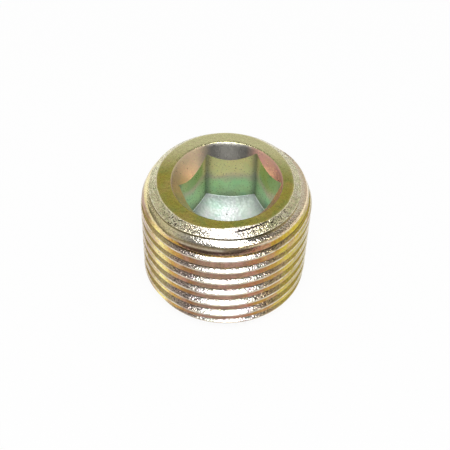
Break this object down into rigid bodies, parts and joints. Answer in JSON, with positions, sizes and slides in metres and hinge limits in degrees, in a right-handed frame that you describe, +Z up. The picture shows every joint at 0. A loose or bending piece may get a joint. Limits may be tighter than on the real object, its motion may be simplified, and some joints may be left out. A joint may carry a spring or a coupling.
{
  "type": "hexagon socket blanking plug",
  "caption": "Headless steel blanking plug with a taper thread and an internal hexagon, yellow passivated zinc finish.",
  "frame": {"origin": "centre of the small end face, which the plug stands on", "axes": "+Z up the plug's axis, out of the socket; two flats of the hexagon face -Y and +Y"},
  "size_m": [0.0158, 0.0158, 0.012],
  "materials": {
    "zinc_plated_steel": "turned steel, zinc plated, yellow iridescent passivation"
  },
  "bodies": {
    "root": {"plug": "zinc_plated_steel"}
  },
  "joints": []
}
